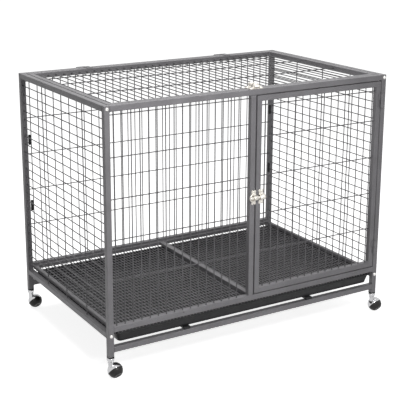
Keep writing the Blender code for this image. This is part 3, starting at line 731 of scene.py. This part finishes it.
def hood_piece(where, stem):
    """Chrome half shell with a rolled rim, a domed neck cup above it, and the stem."""
    bm = bmesh.new()
    centre = Vector((TRAIL, 0, BALL_CENTRE_H))
    place = Matrix.Translation(stem + centre) @ TO_AXLE
    outer = [(0.0, -HOOD_R)] + list(reversed(arc(HOOD_R, 0, -88, 22)))
    rim = [(0.0258, 0.0004), (0.0256, 0.0007), (0.0253, 0.0006), (0.0251, 0.0001)]
    inner = arc(0.0250, -2, -88, 14) + [(0.0, -0.0250)]
    lathe(bm, outer + rim + inner, place, 56)
    neck = [(0.0, 0.0765), (0.0040, 0.0765), (0.0040, 0.0727), (0.0092, 0.0726), (0.0112, 0.0723),
            (0.0123, 0.0716), (0.0127, 0.0705), (0.01275, 0.0687), (0.0126, 0.0665), (0.0120, 0.0641),
            (0.0110, 0.0620), (0.0099, 0.0603), (0.0090, 0.0591), (0.0087, 0.0583), (0.0090, 0.0575),
            (0.0094, 0.0569), (0.0094, 0.0559), (0.0088, 0.0553), (0.0083, 0.0540),
            (0.0082, 0.0420), (0.0, 0.0420)]
    lathe(bm, neck, Matrix.Translation(stem), 40)
    piece("caster_shell_" + where, bm, CHROME, "swivel_" + where, ("caster_hood_" + where,), 50.0)


def ball_piece(where, stem):
    """Black ball: its open side is a broad shallow dish inside a rounded shoulder."""
    bm = bmesh.new()
    centre = Vector((TRAIL, 0, BALL_CENTRE_H))
    place = Matrix.Translation(stem + centre) @ TO_AXLE
    profile = [(0.0, 0.0176), (0.0030, 0.0177), (0.0034, 0.0184), (0.0040, 0.0188), (0.0075, 0.0190),
               (0.0112, 0.0194), (0.0128, 0.0202), (0.0138, 0.0206), (0.0147, 0.0201)]
    profile += arc(BALL_R, 53, 3, 14)
    profile += [(0.0246, 0.0004), (0.0243, -0.0004)] + arc(0.0240, -4, -60, 8) + [(0.0, -0.0206)]
    lathe(bm, profile, place, 56)
    piece("caster_ball_" + where, bm, BALL, "wheel_" + where,
          ("caster_wheel_" + where,), 50.0)


def plug_piece(where, stem):
    """Square black plug under the post's end, with rounded corners."""
    bm = bmesh.new()
    low = (stem.x - HALF, stem.y - HALF, -0.0038)
    high = (stem.x + HALF, stem.y + HALF, -0.0001)
    round_box(bm, low, high, 0.0011, 3)
    piece("caster_plug_" + where, bm, PLUG, "cage", ("caster_socket_" + where,), 50.0)


for end, y in (("front", HALF), ("back", DEPTH - HALF)):
    for side, x in (("left", HALF), ("right", LENGTH - HALF)):
        stem = Vector((x, y, GROUND))
        hood_piece(end + "_" + side, stem)
        ball_piece(end + "_" + side, stem)
        plug_piece(end + "_" + side, stem)


# ---------------------------------------------------------------- camera
CAM_AZ = -0.5268025
CAM_EL = 0.2551454
CAM_ROLL = -0.0014552
CAM_FAR = 3.177685
CAM_RIGHT = 0.223143
CAM_UP = 0.624459
SENSOR = 36.0
CAM_FOCAL = 1008.655 / 400 * SENSOR
ORIGIN = -MID
ca, sa, ce, se = math.cos(CAM_AZ), math.sin(CAM_AZ), math.cos(CAM_EL), math.sin(CAM_EL)
back_way = Vector((sa * ce, -ca * ce, se))
level_right = Vector((ca, sa, 0.0))
level_up = back_way.cross(level_right)
cam_right = math.cos(CAM_ROLL) * level_right + math.sin(CAM_ROLL) * level_up
cam_up = -math.sin(CAM_ROLL) * level_right + math.cos(CAM_ROLL) * level_up
camera_data = bpy.data.cameras.new("camera")
camera_data.lens = CAM_FOCAL
camera_data.sensor_width = SENSOR
camera_data.shift_x = 0.05
camera_data.shift_y = -0.10
camera_data.clip_start = 0.05
camera_data.clip_end = 60.0
camera = bpy.data.objects.new("camera", camera_data)
bpy.context.scene.collection.objects.link(camera)
camera.location = ORIGIN + back_way * CAM_FAR + cam_right * CAM_RIGHT + cam_up * CAM_UP
turn = Matrix((cam_right, cam_up, back_way)).transposed()
camera.rotation_mode = "QUATERNION"
camera.rotation_quaternion = turn.to_quaternion()
bpy.context.scene.camera = camera


# ---------------------------------------------------------------- floor, world and lamps
FLOOR_NEAR = 0.86
WHITE = 1.0


def distance_from_middle(tree):
    """How far a point of the floor is from under the middle of the cage."""
    spot = tree.nodes.new("ShaderNodeTexCoord")
    length = tree.nodes.new("ShaderNodeVectorMath")
    length.operation = "LENGTH"
    tree.links.new(spot.outputs["Object"], length.inputs[0])
    return length.outputs["Value"]


def remapped(tree, value, start, end, low, high):
    node = tree.nodes.new("ShaderNodeMapRange")
    node.interpolation_type = "SMOOTHSTEP"
    for key, number in zip(("From Min", "From Max", "To Min", "To Max"), (start, end, low, high)):
        node.inputs[key].default_value = number
    tree.links.new(value, node.inputs["Value"])
    return node.outputs["Result"]


def either(tree, a, b):
    """1 where either of two flags is 1."""
    node = tree.nodes.new("ShaderNodeMath")
    node.operation = "MAXIMUM"
    tree.links.new(a, node.inputs[0])
    tree.links.new(b, node.inputs[1])
    return node.outputs[0]


def floor_piece():
    bm = bmesh.new()
    bmesh.ops.create_grid(bm, x_segments=8, y_segments=8, size=14.0)
    mesh = bpy.data.meshes.new("floor")
    bm.to_mesh(mesh)
    bm.free()
    obj = bpy.data.objects.new("floor", mesh)
    bpy.context.scene.collection.objects.link(obj)
    material = bpy.data.materials.new("pale_floor")
    material.use_nodes = True
    tree = material.node_tree
    tree.nodes.clear()
    out = tree.nodes.new("ShaderNodeOutputMaterial")
    matt = tree.nodes.new("ShaderNodeBsdfDiffuse")
    matt.inputs["Color"].default_value = (0.90, 0.90, 0.90, 1)
    far = distance_from_middle(tree)
    white = remapped(tree, far, 1.0, 2.2, FLOOR_NEAR, WHITE)
    path = tree.nodes.new("ShaderNodeLightPath")
    seen = tree.nodes.new("ShaderNodeMath")
    seen.operation = "MULTIPLY"
    tree.links.new(path.outputs["Is Camera Ray"], seen.inputs[0])
    tree.links.new(white, seen.inputs[1])
    glow = tree.nodes.new("ShaderNodeEmission")
    tree.links.new(seen.outputs[0], glow.inputs["Strength"])
    total = tree.nodes.new("ShaderNodeAddShader")
    tree.links.new(matt.outputs[0], total.inputs[0])
    tree.links.new(glow.outputs[0], total.inputs[1])
    mirrored = tree.nodes.new("ShaderNodeEmission")
    mirrored.inputs["Strength"].default_value = WHITE
    shown = tree.nodes.new("ShaderNodeMixShader")
    metal = either(tree, path.outputs["Is Glossy Ray"], path.outputs["Is Transmission Ray"])
    tree.links.new(metal, shown.inputs[0])
    tree.links.new(total.outputs[0], shown.inputs[1])
    tree.links.new(mirrored.outputs[0], shown.inputs[2])
    tree.links.new(shown.outputs[0], out.inputs["Surface"])
    mesh.materials.append(material)


floor_piece()

AMBIENT = 0.12
world = bpy.data.worlds.new("studio")
bpy.context.scene.world = world
world.use_nodes = True
tree = world.node_tree
tree.nodes.clear()
out = tree.nodes.new("ShaderNodeOutputWorld")
path = tree.nodes.new("ShaderNodeLightPath")
dim = tree.nodes.new("ShaderNodeBackground")
dim.inputs["Strength"].default_value = AMBIENT
white = tree.nodes.new("ShaderNodeBackground")
white.inputs["Strength"].default_value = WHITE
for node in (dim, white):
    node.inputs["Color"].default_value = (1, 1, 1, 1)
# The camera and reflections see plain white, and all else a dim even light
shown = tree.nodes.new("ShaderNodeMixShader")
metal = either(tree, path.outputs["Is Glossy Ray"], path.outputs["Is Transmission Ray"])
tree.links.new(either(tree, path.outputs["Is Camera Ray"], metal), shown.inputs[0])
tree.links.new(dim.outputs[0], shown.inputs[1])
tree.links.new(white.outputs[0], shown.inputs[2])
tree.links.new(shown.outputs[0], out.inputs["Surface"])


def lamp(name, place, aim, size, power):
    data = bpy.data.lights.new(name, "AREA")
    data.shape = "RECTANGLE"
    data.size, data.size_y = size
    data.energy = power
    obj = bpy.data.objects.new(name, data)
    bpy.context.scene.collection.objects.link(obj)
    obj.location = place
    obj.rotation_mode = "QUATERNION"
    obj.rotation_quaternion = (Vector(aim) - Vector(place)).to_track_quat("-Z", "Y")
    return obj


lamp("softbox_front", (-0.42, -1.55, 1.45), (-0.35, -0.34, 0.5), (0.55, 0.55), 20.0)
lamp("softbox_right", (1.9, -2.2, 2.2), (0.1, 0, 0.45), (0.9, 0.9), 5.0)
lamp("overhead", (0.0, 0.5, 3.0), (0.0, 0.0, 0.4), (2.2, 1.8), 38.0)

scene = bpy.context.scene
scene.view_settings.view_transform = "Standard"
